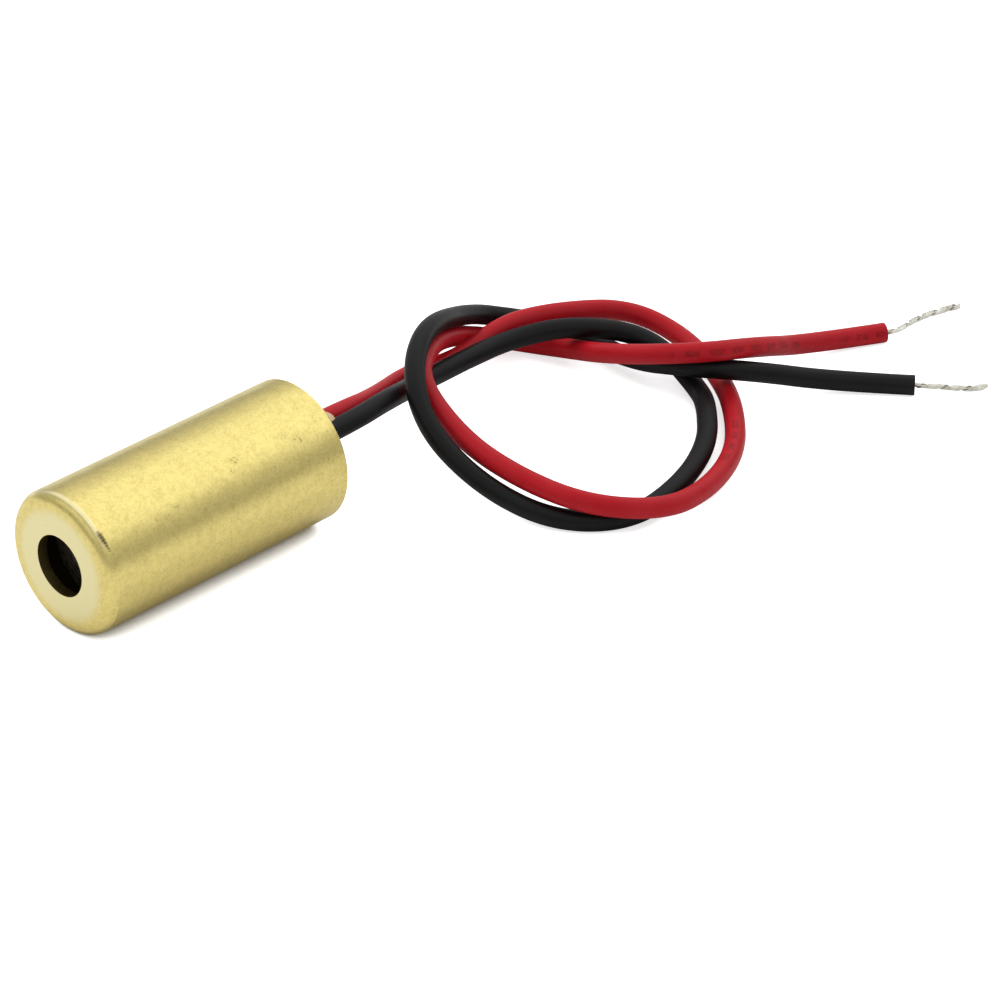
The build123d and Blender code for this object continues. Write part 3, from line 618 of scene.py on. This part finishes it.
class LeadSettings(bpy.types.PropertyGroup):
    """The leads, their bare ends and the resin that they leave."""
    lead_diameter: FloatProperty(name="Lead diameter", description="Outside diameter of the insulation",
                                 default=0.0013, unit="LENGTH")
    bundle_diameter: FloatProperty(name="Bundle diameter", description="Diameter of the twisted strands",
                                   default=0.00042, unit="LENGTH")
    strand_pitch: FloatProperty(name="Strand pitch", description="Length of one full turn of the strands",
                                default=0.0015, unit="LENGTH")
    steps: IntProperty(name="Steps", description="Rings between two of the route's points", default=24, min=4)
    red_colour: FloatVectorProperty(name="Red", description="Colour of the red insulation", subtype="COLOR",
                                    size=4, min=0.0, max=1.0, default=linear("#CA1624"))
    black_colour: FloatVectorProperty(name="Black", description="Colour of the black insulation", subtype="COLOR",
                                      size=4, min=0.0, max=1.0, default=linear("#0B0B0C"))
    resin_colour: FloatVectorProperty(name="Resin", description="Colour of the potting resin", subtype="COLOR",
                                      size=4, min=0.0, max=1.0, default=linear("#F4DCAA"))


class StageSettings(bpy.types.PropertyGroup):
    """The floor, the lamps and the camera."""
    focal_length: FloatProperty(name="Focal length", description="The camera's focal length on a 36 mm sensor",
                                default=157.28, subtype="DISTANCE_CAMERA")
    sky_light: FloatProperty(name="Sky light", description="How brightly the surroundings light the object",
                             default=0.5)
    key_power: FloatProperty(name="Key power", description="Power of the wide lamp that the brass mirrors",
                             default=0.5, subtype="POWER")
    side_power: FloatProperty(name="Side power", description="Power of the soft lamp at the left", default=1.4,
                              subtype="POWER")
    floor_tone: FloatProperty(name="Floor tone", description="How much light the floor gives back", default=0.8,
                              subtype="FACTOR", min=0.0, max=1.0)


class ModuleSettings(bpy.types.PropertyGroup):
    """Everything that a user of the module may change."""
    barrel: PointerProperty(type=BarrelSettings)
    leads: PointerProperty(type=LeadSettings)
    stage: PointerProperty(type=StageSettings)


class MODULE_OT_finish_barrel(bpy.types.Operator):
    """Gives the barrel its satin brass and its marks"""
    bl_idname = "module.finish_barrel"
    bl_label = "Finish the barrel"

    def execute(self, context):
        dress(turned_brass(context.scene.laser_module.barrel), "barrel")
        dress(plain_brass(), "diode_holder")
        return {"FINISHED"}


class MODULE_OT_finish_optics(bpy.types.Operator):
    """Finishes the lens, its cell and the laser diode's can"""
    bl_idname = "module.finish_optics"
    bl_label = "Finish the optics and the can"

    def execute(self, context):
        dress(black_anodised_aluminium(), "lens_cell", "focus_spacer")
        dress(clear_glass("lens_glass", linear("#F4F7F4")), "collimating_lens", "diode_window")
        # Sealing glass: the same clear glass with the green of its iron
        dress(clear_glass("seal_glass", linear("#B9C9A8")), "pin_glass_seals")
        # Gold over nickel on steel, from a barrel plating line: warm yellow with a close grain
        dress(mottled("gold_plated_steel", linear("#F2CC74"), linear("#D9AE54"), 0.8 * MM, 0.08 * MM, 0.002 * MM,
                      (0.25, 0.18), Metallic=1.0), "diode_stem", "anode_pin", "cathode_pin", "common_pin")
        # Drawn steel cap, nickel plated: grey white with faint draw marks
        dress(mottled("nickel_steel", linear("#CFCBC2"), linear("#B2ADA3"), 0.8 * MM, 0.08 * MM, 0.002 * MM,
                      (0.25, 0.18), Metallic=1.0), "diode_cap")
        # Aluminium nitride, sawn: off-white with a fine crystal grain
        dress(mottled("submount_ceramic", linear("#DDD9CC"), linear("#C5C0B0"), 0.15 * MM, 0.03 * MM, 0.002 * MM,
                      (0.6, 0.5)), "laser_submount")
        # Cleaved semiconductor under its gold contact: dark grey with a bright skin
        dress(mottled("semiconductor", linear("#6B6870"), linear("#47454E"), 0.1 * MM, 0.02 * MM, 0.001 * MM,
                      (0.25, 0.15), Metallic=0.6), "laser_chip", "monitor_photodiode")
        return {"FINISHED"}


class MODULE_OT_finish_board(bpy.types.Operator):
    """Finishes the driver board, its parts and its solder"""
    bl_idname = "module.finish_board"
    bl_label = "Finish the driver board"

    def execute(self, context):
        tin = linear("#CFCDC6")
        # Glass and epoxy laminate under green mask: a satin skin over a faint weave
        dress(mottled("board_laminate", linear("#2F7A4E"), linear("#256540"), 1.5 * MM, 0.5 * MM, 0.006 * MM,
                      (0.35, 0.28), IOR=1.5), "driver_board")
        # Copper lands with a thin tin finish: pale, a little pink where the copper shows
        dress(mottled("land_copper", linear("#E0C7B4"), linear("#C79F86"), 0.4 * MM, 0.08 * MM, 0.002 * MM,
                      (0.35, 0.25), Metallic=1.0), "board_lands")
        # Thick film resistors: black glaze between tin caps
        for node in ("bias_resistor", "sense_resistor"):
            dress(ended(node + "_glaze", node, "Y", 0.5 * MM, linear("#1C1B1D"), tin, 0.3), node)
        # Fired ceramic capacitor: tan between tin caps
        dress(ended("capacitor_ceramic", "filter_capacitor", "Y", 0.5 * MM, linear("#A8825C"), tin, 0.45),
              "filter_capacitor")
        # Moulded epoxy packages: matt black with tinned legs
        for node in ("driver_transistor", "feedback_transistor"):
            dress(ended(node + "_epoxy", node, "X", 0.651 * MM, linear("#222124"), tin, 0.5), node)
        # Solder: bright silver, wrinkled where it froze
        dress(mottled("solder", linear("#D9D7D0"), linear("#B7B4AB"), 0.4 * MM, 0.15 * MM, 0.008 * MM,
                      (0.3, 0.18), Metallic=1.0), "pin_solder", "lead_solder")
        return {"FINISHED"}


class MODULE_OT_finish_resin(bpy.types.Operator):
    """Gives the resin in the rear its cream colour and skin"""
    bl_idname = "module.finish_resin"
    bl_label = "Finish the resin"

    def execute(self, context):
        dress(potting_resin(context.scene.laser_module.leads), "rear_potting")
        return {"FINISHED"}


class MODULE_OT_lay_leads(bpy.types.Operator):
    """Lays both insulated leads in their loose knot, with the strands that stand out of them"""
    bl_idname = "module.lay_leads"
    bl_label = "Lay the leads"

    def execute(self, context):
        settings = context.scene.laser_module.leads
        tin = tinned_copper()
        dress(tin, "red_lead_root", "black_lead_root")
        leads = (
            ("red", RED_ROUTE, RED_TIP_ROUTE, 1.0, 0.126, 0.36,
             settings.red_colour, linear("#D02833"), linear("#820E18")),
            ("black", BLACK_ROUTE, BLACK_TIP_ROUTE, 7.0, 0.119, 0.4,
             settings.black_colour, linear("#161718"), None),
        )
        for name, route, tip_route, seed, length, roughness, colour, scuffed, print_colour in leads:
            cover, points = insulated_lead(name + "_insulation", route, settings, seed)
            cover.data.materials.append(insulation(name + "_insulation", colour, scuffed, print_colour, roughness))
            strands = bare_strands(name + "_strands", route, tip_route, settings, seed)
            strands.data.materials.append(tin)
            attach(cover, "root")
            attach(strands, "root")
            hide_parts(name + "_lead")
            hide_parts(name + "_lead_tip")
        return {"FINISHED"}


class MODULE_OT_set_stage(bpy.types.Operator):
    """Sets the pale floor, the white tent, the soft lamps and the camera"""
    bl_idname = "module.set_stage"
    bl_label = "Set the stage"

    def execute(self, context):
        scene = context.scene
        settings = scene.laser_module.stage
        floor_z = CAD_BOUNDS[0][2]

        # Pale paper, lit past white but for the object's close contact shadow. What the metal mirrors and glass
        # passes is brought up to white with the same light of its own
        material, tree, shader = start_material("pale_paper")
        rays = add_node(tree, "ShaderNodeLightPath").outputs
        open_share = add_node(tree, "ShaderNodeAmbientOcclusion", {"Distance": 0.03}, samples=16)
        lit = add_node(tree, "ShaderNodeMapRange", {"Value": open_share.outputs["AO"], "From Min": 0.15,
                                                    "From Max": 0.32})
        # Round the leads the photograph's floor is all but white, so that only the barrel keeps its full shadow
        place = add_node(tree, "ShaderNodeTexCoord").outputs["Object"]
        along = add_node(tree, "ShaderNodeSeparateXYZ", {"Vector": place}).outputs["Y"]
        beyond = add_node(tree, "ShaderNodeMapRange", {"Value": along, "From Min": 21 * MM, "From Max": 27 * MM,
                                                       "To Max": 0.7})
        lit = add_node(tree, "ShaderNodeMath", {0: lit.outputs["Result"], 1: beyond.outputs["Result"]},
                       operation="MAXIMUM")
        mirrored = add_node(tree, "ShaderNodeMath", {0: rays["Is Glossy Ray"], 1: rays["Is Transmission Ray"]},
                            operation="MAXIMUM")
        glow = add_node(tree, "ShaderNodeMapRange", {"Value": open_share.outputs["AO"], "From Min": 0.4,
                                                     "From Max": 0.7, "To Max": 0.33})
        glow = add_node(tree, "ShaderNodeMath", {0: mirrored.outputs["Value"], 1: glow.outputs["Result"]},
                        operation="MULTIPLY")
        fill = add_node(tree, "ShaderNodeMath", {0: rays["Is Camera Ray"], 1: lit.outputs["Value"],
                                                 2: glow.outputs["Value"]}, operation="MULTIPLY_ADD")
        tone = settings.floor_tone
        shader.inputs["Base Color"].default_value = (tone, tone, tone, 1.0)
        shader.inputs["Roughness"].default_value = 1.0
        shader.inputs["Specular IOR Level"].default_value = 0.0
        shader.inputs["Emission Color"].default_value = WHITE
        tree.links.new(fill.outputs["Value"], shader.inputs["Emission Strength"])
        bm = bmesh.new()
        bmesh.ops.create_grid(bm, x_segments=1, y_segments=1, size=1.5,
                              matrix=Matrix.Translation((0, 0, floor_z)))
        floor = finish_mesh(bm, "floor")
        floor.data.materials.append(material)

        # A white tent: the eye sees it white, and the brass mirrors it darker towards the horizon
        world = bpy.data.worlds.new("studio")
        world.use_nodes = True
        tree = world.node_tree
        tree.nodes.clear()
        rays = add_node(tree, "ShaderNodeLightPath").outputs
        seen = add_node(tree, "ShaderNodeMath", {0: rays["Is Camera Ray"], 1: rays["Is Glossy Ray"]},
                        operation="MAXIMUM")
        seen = add_node(tree, "ShaderNodeMath", {0: seen.outputs["Value"], 1: rays["Is Transmission Ray"]},
                        operation="MAXIMUM")
        strength = add_node(tree, "ShaderNodeMapRange", {"Value": seen.outputs["Value"],
                                                         "To Min": settings.sky_light, "To Max": 1.0})
        heading = add_node(tree, "ShaderNodeTexCoord").outputs["Generated"]
        rise = add_node(tree, "ShaderNodeSeparateXYZ", {"Vector": heading})
        rise = add_node(tree, "ShaderNodeMapRange", {"Value": rise.outputs["Z"], "From Min": -1.0})
        tent = add_node(tree, "ShaderNodeValToRGB", {"Fac": rise.outputs["Result"]},
                        [(0.48, (0.34, 0.34, 0.34, 1.0)), (0.55, (0.40, 0.40, 0.40, 1.0)),
                         (0.65, (0.56, 0.56, 0.56, 1.0)), (0.72, (0.72, 0.72, 0.72, 1.0)), (0.80, WHITE)])
        colour = add_node(tree, "ShaderNodeMix", {"Factor": rays["Is Glossy Ray"], 6: WHITE,
                                                  7: tent.outputs["Color"]}, data_type="RGBA")
        sky = add_node(tree, "ShaderNodeBackground", {"Color": colour.outputs[2],
                                                      "Strength": strength.outputs["Result"]})
        add_node(tree, "ShaderNodeOutputWorld", {"Surface": sky.outputs["Background"]})
        scene.world = world

        aim = Vector((0.004, 0.03, -0.002))
        lamps = (("key_lamp", (0.05, 0.45, 0.5), (0.85, 0.6), settings.key_power, True),
                 ("side_lamp", (-0.45, 0.05, 0.4), (0.4, 0.3), settings.side_power, False))
        for name, place, size, power, mirrored in lamps:
            lamp = bpy.data.lights.new(name, "AREA")
            lamp.shape = "RECTANGLE"
            lamp.size, lamp.size_y = size
            lamp.energy = power
            holder = bpy.data.objects.new(name, lamp)
            holder.location = place
            holder.rotation_euler = (Vector(place) - aim).to_track_quat("Z", "Y").to_euler()
            holder.visible_glossy = mirrored
            scene.collection.objects.link(holder)

        camera = bpy.data.cameras.new("camera")
        camera.lens = settings.focal_length
        camera.sensor_width = 36.0
        camera.clip_start = 0.01
        viewer = bpy.data.objects.new("camera", camera)
        turn = Matrix((CAMERA_RIGHT, CAMERA_UP, CAMERA_BACK)).transposed()
        viewer.matrix_world = Matrix.Translation(Vector(CAMERA_PLACE) * MM) @ turn.to_4x4()
        scene.collection.objects.link(viewer)
        scene.camera = viewer
        scene.view_settings.view_transform = "Standard"
        return {"FINISHED"}


class MODULE_PT_steps(bpy.types.Panel):
    """The module's steps and settings"""
    bl_idname = "MODULE_PT_steps"
    bl_label = "Laser module"
    bl_space_type = "VIEW_3D"
    bl_region_type = "UI"
    bl_category = "Laser module"

    def draw(self, context):
        settings = context.scene.laser_module
        for step in STEPS:
            self.layout.operator(step.bl_idname)
        for group in (settings.barrel, settings.leads, settings.stage):
            box = self.layout.box()
            for name in group.__annotations__:
                box.prop(group, name)


STEPS = (
    MODULE_OT_finish_barrel,
    MODULE_OT_finish_optics,
    MODULE_OT_finish_board,
    MODULE_OT_finish_resin,
    MODULE_OT_lay_leads,
    MODULE_OT_set_stage,
)
CLASSES = (BarrelSettings, LeadSettings, StageSettings, ModuleSettings, *STEPS, MODULE_PT_steps)


def register():
    for cls in CLASSES:
        bpy.utils.register_class(cls)
    bpy.types.Scene.laser_module = PointerProperty(type=ModuleSettings)


def unregister():
    del bpy.types.Scene.laser_module
    for cls in reversed(CLASSES):
        bpy.utils.unregister_class(cls)


def main():
    register()
    bpy.ops.module.finish_barrel()
    bpy.ops.module.finish_optics()
    bpy.ops.module.finish_board()
    bpy.ops.module.finish_resin()
    bpy.ops.module.lay_leads()
    bpy.ops.module.set_stage()


if __name__ == "__main__":
    main()
